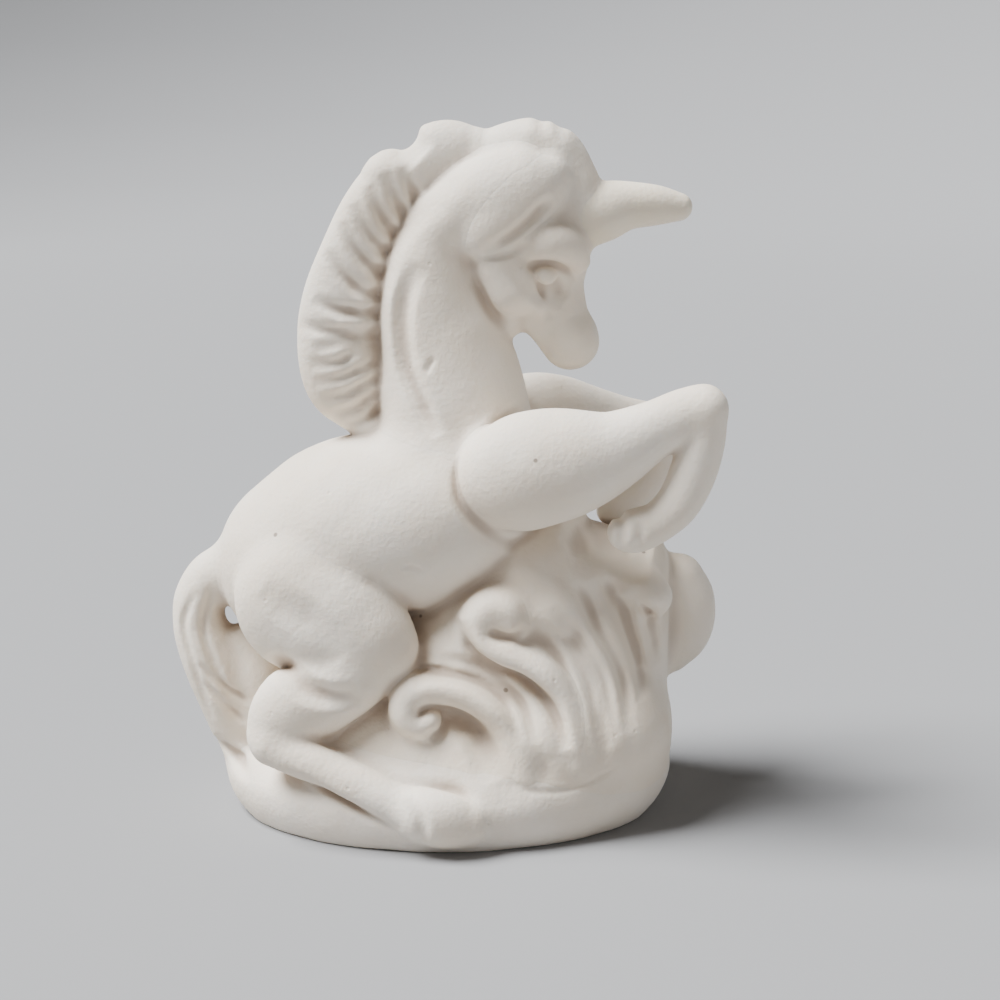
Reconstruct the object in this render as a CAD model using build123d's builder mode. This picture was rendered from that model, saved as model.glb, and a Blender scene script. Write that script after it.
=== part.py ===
"""Rearing unicorn figurine in unglazed bisque porcelain, on a plinth with a breaking wave.

The figure is slip-cast in small moulds, and the castings are luted to each other with slip,
face against face. The frame has +X towards the unicorn's front, +Y towards its left side and
+Z up, with the origin at the centre of the plinth's underside. Units are millimetres.
"""

import os

from build123d import *

# Cast walls and holes
WALL = 3.0
DRAIN_HOLE_DIAMETER = 8.0
VENT_DIAMETER = 3.5

# Plinth: an oval foot that swells a little above the table
FOOT_LENGTH = 46.6
FOOT_WIDTH = 35.0
PLINTH_LENGTH = 49.4
PLINTH_WIDTH = 35.6
PLINTH_HEIGHT = 9.0

# Wave: it stands on the plinth and carries the chest
SEAM_HEIGHT = 6.8
WAVE_LENGTH = 31.0
WAVE_WIDTH = 31.6
WAVE_HEIGHT = 25.8
KNOB_DIAMETER = 7.2
KNOB_HEIGHT = 13.6
SHELF_WIDTH = 11.6
SHELF_DEPTH = 9.4
BACKWASH_WIDTH = 16.8
BACKWASH_DEPTH = 12.4
WAVE_GROOVE_WIDTH = 1.3
WAVE_GROOVE_DEPTH = 0.8
CURL_WIDTH = 2.7
CURL_EYE_DIAMETER = 3.3
CURL_RELIEF = 1.2

# Trunk, neck and head
BARREL_WIDTH = 23.2
BARREL_DEPTH = 21.6
NECK_WIDTH = 14.6
NECK_DEPTH = 16.6
NECK_GROOVE_WIDTH = 2.6
HEAD_WIDTH = 10.4
HEAD_DEPTH = 12.2
HORN_DIAMETER = 7.8
HORN_LENGTH = 11.7
EAR_WIDTH = 5.6
EAR_THICKNESS = 3.6
MANE_DEPTH = 9.6
MANE_THICKNESS = 6.0
LOCK_GROOVE_WIDTH = 2.4
LOCK_GROOVE_DEPTH = 0.8
FORELOCK_WIDTH = 6.0
FORELOCK_DEPTH = 4.4

# Legs and tail
SHOULDER_DEPTH = 12.8
SHOULDER_WIDTH = 9.2
FORE_CANNON_DIAMETER = 5.0
THIGH_DEPTH = 16.8
THIGH_WIDTH = 10.4
GASKIN_WIDTH = 7.2
GASKIN_DEPTH = 9.4
HIND_CANNON_DIAMETER = 4.6
TAIL_WIDTH = 8.0
TAIL_DEPTH = 7.4

# Places that more than one piece is set out from; the animal's heights start at the plinth's crown
ACROSS = Vector(0, 1, 0)
RIGHT = -1
LEFT = 1
STANDING = (Align.CENTER, Align.CENTER, Align.MIN)
PLINTH_MIDDLE = Vector(-0.6, 0, 0)
CROWN = Vector(0, 0, PLINTH_HEIGHT)
WAVE_BACK = -6.5
WAVE_FRONT = Vector(WAVE_BACK + WAVE_LENGTH, 0.6, SEAM_HEIGHT)
WAVE_LEAN = Vector(0, 3.4, WAVE_HEIGHT)
POLL = CROWN + Vector(9.2, 0, 63.6)
BROW = CROWN + Vector(9.9, 0, 56.0)


def swelling_form(stations):
    """A rounded form through oval sections, each given as (centre, width across Y, depth)."""
    centres = [Vector(station[0]) for station in stations]
    last = len(centres) - 1
    with BuildPart() as form:
        for index, (centre, width, depth) in enumerate(stations):
            heading = centres[min(index + 1, last)] - centres[max(index - 1, 0)]
            with BuildSketch(Plane(origin=centre, x_dir=ACROSS, z_dir=heading)):
                Ellipse(width / 2, depth / 2)
        loft()
    return form.part


def level_form(stations):
    """A mound through level ovals, each given as (centre, length along X, width along Y)."""
    with BuildPart() as form:
        for centre, length, width in stations:
            with BuildSketch(Plane(origin=centre)):
                Ellipse(length / 2, width / 2)
        loft()
    return form.part


def spine_stations(spine, width, depth):
    """Stations on the animal's middle plane, as shares of one greatest width and depth."""
    return [
        (CROWN + Vector(x, 0, height), wide * width, deep * depth) for x, height, wide, deep in spine
    ]


def limb_stations(side, spine, width, depth):
    """Stations of a limb, whose distances out are counted from the barrel's side."""
    return [
        (
            CROWN + Vector(x, side * (BARREL_WIDTH / 2 + out), height),
            wide * width,
            deep * depth,
        )
        for x, height, out, wide, deep in spine
    ]


def finish(name, block):
    """Labels a sub-part and writes its STEP file."""
    block.part.label = name
    export_step(block.part, f"parts/{name}.step")


os.makedirs("parts", exist_ok=True)

# Trunk: barrel, rump and chest, cast hollow
TRUNK_SPINE = [
    (-25.0, 17.0, 0.10, 0.12),
    (-23.7, 17.2, 0.54, 0.60),
    (-21.0, 17.6, 0.80, 0.84),
    (-16.8, 18.6, 0.94, 0.94),
    (-11.2, 21.2, 1.00, 1.00),
    (-5.6, 22.8, 1.00, 0.99),
    (-0.7, 24.4, 0.95, 0.92),
    (4.3, 26.8, 0.83, 0.76),
    (7.8, 28.5, 0.54, 0.48),
    (9.2, 29.2, 0.12, 0.10),
]
trunk_stations = spine_stations(TRUNK_SPINE, BARREL_WIDTH, BARREL_DEPTH)
trunk_form = swelling_form(trunk_stations)
trunk_hollow = swelling_form(
    [
        (centre, width - 2 * WALL, depth - 2 * WALL)
        for centre, width, depth in trunk_stations
        if min(width, depth) > 3 * WALL
    ]
)

# Wave: a hollow mound with a plumb front, whose back slopes forward under the belly. On its right
# flank a rounded shelf, set out in shares of the wave's sizes, carries the curls. A low swell, the
# backwash, runs down behind it between the hind legs.
WAVE_SHARES = [
    (0.0, 0.0, 1.00, 1.00),
    (0.20, 0.0, 0.985, 0.94),
    (0.40, 0.0, 0.93, 0.86),
    (0.60, 0.2, 0.82, 0.77),
    (0.80, 0.4, 0.68, 0.64),
    (0.92, 0.0, 0.52, 0.50),
    (1.0, -2.4, 0.26, 0.26),
]


def wave_stations(levels, growth):
    """The wave's ovals from foot to crest, each grown all round by the same distance."""
    return [
        (
            WAVE_FRONT + WAVE_LEAN * rise + Vector(jut - long * WAVE_LENGTH / 2, 0, 0),
            long * WAVE_LENGTH + 2 * growth,
            wide * WAVE_WIDTH + 2 * growth,
        )
        for rise, jut, long, wide in levels
    ]


SHELF_SHARES = [
    (0.903, 0.128, 0.206, 0.12),
    (0.884, 0.163, 0.206, 0.50),
    (0.835, 0.248, 0.206, 0.92),
    (0.771, 0.372, 0.196, 1.00),
    (0.687, 0.496, 0.184, 1.00),
    (0.584, 0.589, 0.171, 1.00),
    (0.468, 0.636, 0.139, 1.04),
    (0.355, 0.651, 0.108, 0.90),
    (0.290, 0.651, 0.095, 0.20),
]

BACKWASH_SHARES = [
    (1.119, 0.070, 0.28),
    (1.068, 0.109, 0.72),
    (0.997, 0.178, 0.95),
    (0.887, 0.318, 1.00),
    (0.771, 0.457, 1.00),
    (0.694, 0.550, 0.70),
]
with BuildPart() as backwash:
    add(
        swelling_form(
            [
                (
                    WAVE_FRONT + Vector(-behind * WAVE_LENGTH, 0, rise * WAVE_HEIGHT),
                    share * BACKWASH_WIDTH,
                    share * BACKWASH_DEPTH,
                )
                for behind, rise, share in BACKWASH_SHARES
            ]
        )
    )
    split(bisect_by=Plane(origin=WAVE_FRONT), keep=Keep.TOP)


def mound_form(growth, shelf_shares):
    """The wave's outside with its shelf, grown all round by the same distance."""
    shelf_stations = [
        (
            WAVE_FRONT + Vector(-behind * WAVE_LENGTH, RIGHT * aside * WAVE_WIDTH, rise * WAVE_HEIGHT),
            share * SHELF_WIDTH + 2 * growth,
            share * SHELF_DEPTH + 2 * growth,
        )
        for behind, rise, aside, share in shelf_shares
    ]
    with BuildPart() as mound:
        add(level_form(wave_stations(WAVE_SHARES, growth)))
        add(swelling_form(shelf_stations))
    return mound.part


with BuildPart() as wave_outside:
    add(mound_form(0, SHELF_SHARES))
    add(backwash.part)
wave_form = wave_outside.part
wave_hollow = level_form(wave_stations(WAVE_SHARES[:-2], -WALL))
WAVE_MIDDLE = WAVE_FRONT - Vector(WAVE_LENGTH / 2, 0, 0)
VENT_PLACE = Vector(6.4, 0.4, SEAM_HEIGHT + 0.6 * WAVE_HEIGHT)
VENT_LENGTH = 14.0


def vent():
    """Cuts the vent between the two hollows out of the sub-part that is being built."""
    with Locations(VENT_PLACE):
        Cylinder(VENT_DIAMETER / 2, VENT_LENGTH, align=STANDING, mode=Mode.SUBTRACT)


with BuildPart() as trunk:
    add(trunk_form)
    add(trunk_hollow, mode=Mode.SUBTRACT)
    vent()
finish("trunk", trunk)

# Grooves run down both flanks in front of the shelf, each through places given as shares of the
# wave's length behind its front and of its height. They are cut down to a core that is as much
# smaller than the wave as they are deep.
WAVE_GROOVES = [
    [(0.50, 0.585), (0.395, 0.49), (0.328, 0.37), (0.293, 0.22), (0.270, 0.06)],
    [(0.445, 0.63), (0.338, 0.475), (0.270, 0.335), (0.247, 0.13)],
    [(0.355, 0.71), (0.292, 0.545), (0.215, 0.37), (0.199, 0.18)],
    [(0.271, 0.745), (0.214, 0.585), (0.157, 0.40), (0.141, 0.27)],
]
wave_core = mound_form(-WAVE_GROOVE_DEPTH, SHELF_SHARES[1:-1])
with BuildPart() as wave_grooves:
    with BuildSketch(Plane(WAVE_FRONT, x_dir=(1, 0, 0), z_dir=-ACROSS)):
        for groove in WAVE_GROOVES:
            with BuildLine():
                Spline([(-behind * WAVE_LENGTH, rise * WAVE_HEIGHT) for behind, rise in groove])
            trace(line_width=WAVE_GROOVE_WIDTH)
    extrude(amount=WAVE_WIDTH, both=True)
    add(wave_core, mode=Mode.SUBTRACT)

with BuildPart() as wave:
    add(wave_form)
    add(wave_grooves.part, mode=Mode.SUBTRACT)
    add(wave_hollow, mode=Mode.SUBTRACT)
    add(trunk_form, mode=Mode.SUBTRACT)
    vent()
finish("wave", wave)

# Plinth: an oval dish under the wave, closed to the rear, with the drain hole in its floor
PLINTH_SHARES = [
    (0.16, 0.985, 0.985),
    (0.45, 1.00, 1.00),
    (0.75, 0.95, 0.91),
    (0.94, 0.80, 0.68),
    (1.0, 0.50, 0.38),
]
plinth_form = level_form(
    [(PLINTH_MIDDLE, FOOT_LENGTH, FOOT_WIDTH)]
    + [
        (PLINTH_MIDDLE + CROWN * rise, long * PLINTH_LENGTH, wide * PLINTH_WIDTH)
        for rise, long, wide in PLINTH_SHARES
    ]
)
with BuildPart() as plinth:
    add(plinth_form)
    add(wave_form, mode=Mode.SUBTRACT)
    with BuildSketch(Plane(origin=WAVE_MIDDLE)):
        Ellipse(WAVE_LENGTH / 2 - WALL, WAVE_WIDTH / 2 - WALL)
    extrude(amount=WALL - SEAM_HEIGHT, mode=Mode.SUBTRACT)
    with Locations((WAVE_MIDDLE.X, WAVE_MIDDLE.Y, 0)):
        Cylinder(DRAIN_HOLE_DIAMETER / 2, WALL, align=STANDING, mode=Mode.SUBTRACT)
finish("plinth", plinth)

# Neck: an arched column from the shoulders to the poll
NECK_SPINE = [
    (1.2, 26.5, 1.04, 0.98),
    (0.6, 34.3, 0.98, 0.99),
    (-0.6, 42.0, 0.82, 0.87),
    (-1.8, 48.5, 0.71, 0.71),
    (-1.0, 53.8, 0.64, 0.58),
    (2.2, 58.3, 0.60, 0.56),
    (6.0, 60.8, 0.50, 0.46),
]
neck_form = swelling_form(spine_stations(NECK_SPINE, NECK_WIDTH, NECK_DEPTH))

# A groove runs down each side of the neck, behind its middle
NECK_GROOVE_SPINE = [
    (-2.6, 52.9, -6.5, 0.20, 0.20),
    (-3.1, 51.7, -6.5, 0.80, 0.80),
    (-4.7, 47.5, -6.5, 1.00, 1.00),
    (-4.5, 41.3, -6.1, 1.00, 1.00),
    (-2.6, 36.6, -4.7, 0.90, 0.90),
    (-1.2, 33.8, -4.1, 0.50, 0.50),
    (-0.8, 32.8, -4.0, 0.20, 0.20),
]
with BuildPart() as neck:
    add(neck_form)
    add(trunk_form, mode=Mode.SUBTRACT)
    for side in (RIGHT, LEFT):
        groove_stations = limb_stations(side, NECK_GROOVE_SPINE, NECK_GROOVE_WIDTH, NECK_GROOVE_WIDTH)
        add(swelling_form(groove_stations), mode=Mode.SUBTRACT)
finish("neck", neck)

# Head: from the poll down past the brow and the cheek to the rounded muzzle
HEAD_SPINE = [
    (8.9, 64.8, 0.16, 0.16),
    (9.2, 63.6, 0.66, 0.64),
    (10.3, 60.0, 0.90, 0.95),
    (9.6, 54.5, 1.00, 1.00),
    (9.1, 50.2, 0.94, 0.97),
    (10.6, 46.3, 0.72, 0.72),
    (12.7, 43.2, 0.62, 0.54),
    (13.6, 41.2, 0.46, 0.40),
    (14.0, 40.0, 0.10, 0.10),
]
head_form = swelling_form(spine_stations(HEAD_SPINE, HEAD_WIDTH, HEAD_DEPTH))
with BuildPart() as head:
    add(head_form)
    add(neck_form, mode=Mode.SUBTRACT)
finish("head", head)

# Horn: a stout blunt cone on the forehead, rooted under the brow's skin
HORN_SPINE = [
    (0.0, 0.2, 1.00),
    (0.20, 0.5, 0.87),
    (0.46, 1.0, 0.69),
    (0.74, 1.3, 0.54),
    (0.92, 1.1, 0.38),
    (1.0, 0.9, 0.12),
]
HORN_ROOT = BROW + Vector(HEAD_DEPTH / 2 - 1.8, 0, 0.4)
horn_form = swelling_form(
    [
        (HORN_ROOT + Vector(along * HORN_LENGTH, 0, lift), share * HORN_DIAMETER, share * HORN_DIAMETER)
        for along, lift, share in HORN_SPINE
    ]
)
with BuildPart() as horn:
    add(horn_form)
    add(head_form, mode=Mode.SUBTRACT)
finish("horn", horn)

# Mane: a crest that stands along the back of the neck up to the poll
MANE_SPINE = [
    (-9.0, 33.8, 0.34, 0.26),
    (-10.4, 36.0, 0.78, 0.70),
    (-11.3, 39.2, 0.96, 0.98),
    (-11.6, 43.0, 1.00, 1.02),
    (-11.2, 47.4, 1.00, 0.96),
    (-9.6, 52.8, 0.94, 0.84),
    (-7.6, 57.0, 0.90, 0.78),
    (-4.7, 60.2, 0.90, 0.78),
    (-0.8, 62.6, 0.90, 0.80),
    (2.4, 63.3, 0.74, 0.52),
    (4.2, 63.2, 0.22, 0.14),
]
mane_form = swelling_form(spine_stations(MANE_SPINE, MANE_THICKNESS, MANE_DEPTH))
with BuildPart() as mane:
    add(mane_form)
    add(neck_form, mode=Mode.SUBTRACT)
    add(trunk_form, mode=Mode.SUBTRACT)
    # Grooves between the locks, across both sides at each inner station
    for before, station, after in zip(MANE_SPINE[1:], MANE_SPINE[2:], MANE_SPINE[3:-1]):
        x, height, wide, deep = station
        heading = Vector(after[0] - before[0], 0, after[1] - before[1])
        out = wide * MANE_THICKNESS / 2 + LOCK_GROOVE_WIDTH / 2 - LOCK_GROOVE_DEPTH
        for side in (RIGHT, LEFT):
            middle = CROWN + Vector(x, side * out, height)
            with Locations(Plane(origin=middle, x_dir=ACROSS, z_dir=heading.cross(ACROSS))):
                Cylinder(LOCK_GROOVE_WIDTH / 2, 1.5 * MANE_DEPTH, mode=Mode.SUBTRACT)
finish("mane", mane)

# Forelock: a tuft that lies over the poll and falls on the forehead
FORELOCK_SPINE = [
    (-5.6, 0.4, 0.30, 0.34),
    (-3.2, 0.9, 0.80, 0.86),
    (-0.2, 1.0, 1.00, 0.94),
    (2.6, 0.0, 0.88, 0.92),
    (4.3, -1.6, 0.60, 0.66),
    (5.0, -2.9, 0.18, 0.20),
]
forelock_form = swelling_form(
    [
        (POLL + Vector(along, 0, lift), wide * FORELOCK_WIDTH, deep * FORELOCK_DEPTH)
        for along, lift, wide, deep in FORELOCK_SPINE
    ]
)
with BuildPart() as forelock:
    add(forelock_form)
    add(head_form, mode=Mode.SUBTRACT)
    add(neck_form, mode=Mode.SUBTRACT)
    add(mane_form, mode=Mode.SUBTRACT)
finish("forelock", forelock)

# Ears: laid back flat against the head, one on each side
EAR_SPINE = [
    (10.6, 60.8, 0.0, 0.55),
    (8.6, 59.2, 0.6, 0.95),
    (6.4, 57.0, 0.8, 1.00),
    (4.4, 55.2, 0.6, 0.70),
    (3.2, 54.0, 0.3, 0.20),
]
EAR_SEAT = HEAD_WIDTH / 2 - EAR_THICKNESS / 4
for side, name in ((RIGHT, "right_ear"), (LEFT, "left_ear")):
    ear_form = swelling_form(
        [
            (
                CROWN + Vector(x, side * (EAR_SEAT + lift), height),
                share * EAR_THICKNESS,
                share * EAR_WIDTH,
            )
            for x, height, lift, share in EAR_SPINE
        ]
    )
    with BuildPart() as ear:
        add(ear_form)
        add(head_form, mode=Mode.SUBTRACT)
        add(neck_form, mode=Mode.SUBTRACT)
    finish(name, ear)

# Hind legs: thigh against the rump, gaskin back to the hock, cannon forward along the plinth
THIGH_SPINE = [
    (-19.6, 20.0, -5.6, 0.55, 0.55),
    (-17.4, 17.8, -4.4, 0.86, 0.86),
    (-13.6, 14.8, -3.2, 1.00, 1.00),
    (-9.8, 12.6, -2.2, 0.86, 0.86),
    (-6.4, 11.2, -1.6, 0.58, 0.58),
    (-4.2, 10.4, -1.4, 0.18, 0.18),
]
GASKIN_SPINE = [
    (-5.6, 11.0, -1.8, 0.60, 0.60),
    (-9.0, 9.2, -1.2, 0.88, 0.90),
    (-13.4, 7.0, -0.6, 1.00, 1.06),
    (-17.0, 4.8, 0.0, 0.90, 0.96),
    (-19.2, 2.7, 0.2, 0.64, 0.66),
    (-20.6, 0.9, 0.2, 0.22, 0.22),
]
HIND_CANNON_SPINE = [
    (-20.8, 2.0, 0.4, 0.30, 0.30),
    (-18.6, 1.0, 1.0, 0.94, 0.94),
    (-12.6, -1.2, 3.0, 0.94, 0.94),
    (-6.8, -3.4, 4.4, 1.00, 1.00),
    (-3.4, -4.4, 4.9, 1.08, 1.08),
    (-0.4, -5.2, 5.1, 1.14, 1.14),
    (1.6, -5.7, 4.9, 0.84, 0.84),
    (2.6, -6.0, 4.7, 0.24, 0.24),
]
hind_leg_forms = []
for side, name in ((RIGHT, "right_hind_leg"), (LEFT, "left_hind_leg")):
    thigh = swelling_form(limb_stations(side, THIGH_SPINE, THIGH_WIDTH, THIGH_DEPTH))
    gaskin = swelling_form(limb_stations(side, GASKIN_SPINE, GASKIN_WIDTH, GASKIN_DEPTH))
    cannon = swelling_form(
        limb_stations(side, HIND_CANNON_SPINE, HIND_CANNON_DIAMETER, HIND_CANNON_DIAMETER)
    )
    with BuildPart() as hind_leg:
        add(thigh)
        add(gaskin)
        add(cannon)
        add(trunk_form, mode=Mode.SUBTRACT)
        add(plinth_form, mode=Mode.SUBTRACT)
        add(wave_form, mode=Mode.SUBTRACT)
    hind_leg_forms.append(hind_leg.part)
    finish(name, hind_leg)

# Forelegs: shoulder and forearm reach forward to the knee, the cannon folds back to the hoof
RIGHT_FOREARM = [
    (1.6, 28.6, -5.6, 0.50, 0.50),
    (4.4, 29.4, -3.6, 0.78, 0.78),
    (8.0, 30.7, -1.8, 1.00, 1.00),
    (12.6, 31.7, -0.8, 0.91, 0.91),
    (16.7, 32.9, -0.2, 0.74, 0.68),
    (20.8, 35.0, 0.0, 0.60, 0.48),
    (24.9, 36.9, 0.0, 0.56, 0.43),
    (27.4, 38.0, 0.0, 0.46, 0.36),
    (28.7, 38.5, 0.0, 0.16, 0.12),
]
RIGHT_FORE_CANNON = [
    (27.2, 39.6, 0.0, 0.30, 0.30),
    (27.0, 37.9, 0.0, 0.84, 0.90),
    (26.4, 34.2, 0.0, 0.96, 1.00),
    (25.4, 30.8, 0.0, 1.00, 1.02),
    (24.0, 27.6, 0.0, 0.98, 0.98),
    (21.8, 25.5, 0.0, 0.88, 0.88),
    (19.3, 24.6, 0.0, 0.92, 0.92),
    (17.4, 24.3, 0.0, 0.66, 0.66),
    (16.6, 24.2, 0.0, 0.20, 0.20),
]
LEFT_FOREARM = [
    (2.4, 29.4, -5.6, 0.50, 0.50),
    (5.8, 32.0, -4.2, 0.84, 0.84),
    (9.6, 33.0, -3.2, 0.86, 0.86),
    (14.5, 32.6, -2.0, 0.72, 0.68),
    (19.0, 32.2, -1.2, 0.60, 0.50),
    (22.4, 31.9, -0.8, 0.56, 0.44),
    (24.8, 31.6, -0.8, 0.44, 0.32),
    (26.0, 31.4, -0.8, 0.14, 0.10),
]
LEFT_FORE_CANNON = [
    (25.0, 33.6, -0.8, 0.24, 0.24),
    (24.7, 31.8, -0.8, 0.80, 0.84),
    (24.2, 28.8, -0.8, 0.92, 0.96),
    (23.2, 25.8, -0.8, 0.94, 0.94),
    (21.4, 23.6, -0.8, 0.86, 0.86),
    (19.4, 22.2, -0.8, 0.88, 0.88),
    (17.6, 21.4, -0.8, 0.62, 0.62),
    (16.9, 21.1, -0.8, 0.20, 0.20),
]
for side, name, forearm_spine, cannon_spine in (
    (RIGHT, "right_foreleg", RIGHT_FOREARM, RIGHT_FORE_CANNON),
    (LEFT, "left_foreleg", LEFT_FOREARM, LEFT_FORE_CANNON),
):
    forearm = swelling_form(limb_stations(side, forearm_spine, SHOULDER_WIDTH, SHOULDER_DEPTH))
    cannon = swelling_form(
        limb_stations(side, cannon_spine, FORE_CANNON_DIAMETER, FORE_CANNON_DIAMETER)
    )
    with BuildPart() as foreleg:
        add(forearm)
        add(cannon)
        add(trunk_form, mode=Mode.SUBTRACT)
        add(neck_form, mode=Mode.SUBTRACT)
        add(wave_form, mode=Mode.SUBTRACT)
    finish(name, foreleg)

# Tail: arches out from the rump and falls to the plinth
TAIL_SPINE = [
    (-22.6, 18.6, 0.60, 0.62),
    (-25.8, 17.6, 0.76, 0.80),
    (-27.8, 15.2, 0.80, 0.82),
    (-27.8, 12.0, 0.84, 0.84),
    (-26.8, 9.0, 0.94, 0.96),
    (-25.8, 6.2, 1.00, 1.02),
    (-25.0, 2.4, 0.96, 0.86),
    (-24.1, -1.4, 0.80, 0.66),
    (-22.8, -4.6, 0.50, 0.40),
]
tail_form = swelling_form(spine_stations(TAIL_SPINE, TAIL_WIDTH, TAIL_DEPTH))
with BuildPart() as tail:
    add(tail_form)
    add(trunk_form, mode=Mode.SUBTRACT)
    add(plinth_form, mode=Mode.SUBTRACT)
    for leg_form in hind_leg_forms:
        add(leg_form, mode=Mode.SUBTRACT)
finish("tail", tail)

# Knob: a rounded lump of spray on the wave's front
KNOB_SHARES = [(0.0, 0.26), (0.10, 0.68), (0.32, 1.00), (0.68, 1.00), (0.90, 0.62), (1.0, 0.20)]
KNOB_FOOT = WAVE_FRONT + Vector(2.1, 5.0, 6.2)
knob_form = level_form(
    [
        (KNOB_FOOT + Vector(0, 0, rise * KNOB_HEIGHT), share * KNOB_DIAMETER, share * KNOB_DIAMETER)
        for rise, share in KNOB_SHARES
    ]
)
with BuildPart() as knob:
    add(knob_form)
    add(wave_form, mode=Mode.SUBTRACT)
finish("wave_knob", knob)

# Curls: strands of water that roll over and run down, in relief on the wave's right flank.
# Each has its eye's place behind the wave's front and above the seam, the roll's radius and
# angles, a straight run, the radius and angle of the sweep down, and a straight foot. Heights
# are shares of the wave's height, and all other lengths are shares of its length. The strands
# start at a share of the wave's width beside its middle.
UPPER_CURL = (0.632, 0.636, 0.0871, 11, 230, 0.1613, 0.3226, -61, 0.129)
LOWER_CURL = (0.816, 0.341, 0.0774, 290, -200, 0.0129, 0.3097, -90, 0.0968)
FLANK_DEPTH = 0.16
FLANK_PLANE = Plane((0, RIGHT * FLANK_DEPTH * WAVE_WIDTH, SEAM_HEIGHT), x_dir=(1, 0, 0), z_dir=-ACROSS)
wave_relief = mound_form(CURL_RELIEF, SHELF_SHARES)

curl_forms = []
for name, curl_line in (("upper_curl", UPPER_CURL), ("lower_curl", LOWER_CURL)):
    behind, above, roll_share, roll_start, roll_turn, run_share, sweep_share, sweep_turn, foot_share = curl_line
    eye = (WAVE_FRONT.X - behind * WAVE_LENGTH, above * WAVE_HEIGHT)
    roll_radius = roll_share * WAVE_LENGTH
    sweep_radius = sweep_share * WAVE_LENGTH
    with BuildPart() as curl:
        with BuildSketch(FLANK_PLANE):
            with BuildLine():
                roll = CenterArc(eye, roll_radius, roll_start, roll_turn)
                run = PolarLine(roll @ 1, run_share * WAVE_LENGTH, direction=roll % 1)
                sweep = JernArc(run @ 1, run % 1, sweep_radius, sweep_turn)
                PolarLine(sweep @ 1, foot_share * WAVE_LENGTH, direction=sweep % 1)
            trace(line_width=CURL_WIDTH)
            with Locations(roll @ 0):
                Circle(CURL_EYE_DIAMETER / 2)
        extrude(amount=WAVE_WIDTH)
        add(wave_relief, mode=Mode.INTERSECT)
        for neighbour_form in (wave_form, trunk_form, plinth_form, *hind_leg_forms, *curl_forms):
            add(neighbour_form, mode=Mode.SUBTRACT)
    curl_forms.append(curl.part)
    finish(name, curl)
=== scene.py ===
# %% [markdown]
# # A rearing unicorn in white bisque porcelain
# The real thing is a small figure, cast in liquid clay in eighteen little moulds and luted
# together before firing. It is left unglazed, so every form is soft and a bit uneven. The packed
# CAD model is loaded first: it gives the frame, the size and the eighteen pieces that are
# dressed here one by one.

# %% Load the packed model and keep its box
import math

import bpy
import numpy as np
import openvdb
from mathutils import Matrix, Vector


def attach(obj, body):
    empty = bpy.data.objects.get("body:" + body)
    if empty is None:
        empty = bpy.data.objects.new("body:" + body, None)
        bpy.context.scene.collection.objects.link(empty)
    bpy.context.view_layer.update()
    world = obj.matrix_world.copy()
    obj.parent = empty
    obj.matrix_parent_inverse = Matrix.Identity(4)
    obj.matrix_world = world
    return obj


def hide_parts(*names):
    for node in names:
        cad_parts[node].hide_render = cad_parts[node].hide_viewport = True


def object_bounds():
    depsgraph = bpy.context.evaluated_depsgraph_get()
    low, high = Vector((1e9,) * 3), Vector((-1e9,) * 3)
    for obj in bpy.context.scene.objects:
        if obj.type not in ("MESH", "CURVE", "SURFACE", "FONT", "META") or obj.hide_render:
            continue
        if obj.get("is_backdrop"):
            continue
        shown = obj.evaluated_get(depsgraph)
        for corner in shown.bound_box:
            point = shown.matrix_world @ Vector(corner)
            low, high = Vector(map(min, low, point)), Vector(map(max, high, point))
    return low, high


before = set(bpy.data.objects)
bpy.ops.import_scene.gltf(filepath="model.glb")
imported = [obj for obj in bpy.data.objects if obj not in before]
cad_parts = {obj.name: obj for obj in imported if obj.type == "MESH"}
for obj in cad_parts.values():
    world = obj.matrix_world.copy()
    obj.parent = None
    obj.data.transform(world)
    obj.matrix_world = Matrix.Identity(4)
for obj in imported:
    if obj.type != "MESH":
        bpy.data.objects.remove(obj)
cad_low, cad_high = (list(corner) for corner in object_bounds())
MM = 0.001


def in_mm(corner):
    """A corner of a box in millimetres, for printing."""
    return [round(v / MM, 1) for v in corner]


print("CAD box in mm:", in_mm(cad_low), in_mm(cad_high))

# %% [markdown]
# ## The camera
# The photograph is taken from the figure's right side, a little from above. A camera could be
# moved by eye until the picture fits, but then no place in the picture could be relied on. Here
# one camera model serves twice: it takes the picture, and it turns a place in the photograph
# into a place in the frame. That second use lets a groove be laid where the eye sees it.

# %% The photograph's camera, in millimetres
TILT = math.radians(12.0)
FIELD_OF_VIEW = math.radians(30.0)
AIM = np.array((5.4, 0.0, 34.4))
EYE_DISTANCE = 205.26
PHOTO_SIDE = 1000
SENSOR_WIDTH = 36.0
NEAREST_SEEN = 10.0
FOCAL = PHOTO_SIDE / 2 / math.tan(FIELD_OF_VIEW / 2)
EYE = AIM + EYE_DISTANCE * np.array((0.0, -math.cos(TILT), math.sin(TILT)))


def seen(column, row, y):
    """The (x, z) at depth y that the photograph shows at this column and row."""
    right = (column - PHOTO_SIDE / 2) / FOCAL
    up = (PHOTO_SIDE / 2 - row) / FOCAL
    forward = math.cos(TILT) + up * math.sin(TILT)
    rise = up * math.cos(TILT) - math.sin(TILT)
    reach = (y - EYE[1]) / forward
    return (EYE[0] + reach * right, EYE[2] + reach * rise)


camera_data = bpy.data.cameras.new("photo_camera")
camera_data.sensor_width = SENSOR_WIDTH
camera_data.lens = SENSOR_WIDTH / 2 / math.tan(FIELD_OF_VIEW / 2)
camera_data.clip_start = NEAREST_SEEN * MM
camera = bpy.data.objects.new("photo_camera", camera_data)
camera.location = EYE * MM
camera.rotation_euler = (math.pi / 2 - TILT, 0.0, 0.0)
bpy.context.scene.collection.objects.link(camera)
bpy.context.scene.camera = camera
print("camera at", [round(v, 3) for v in camera.location])

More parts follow.
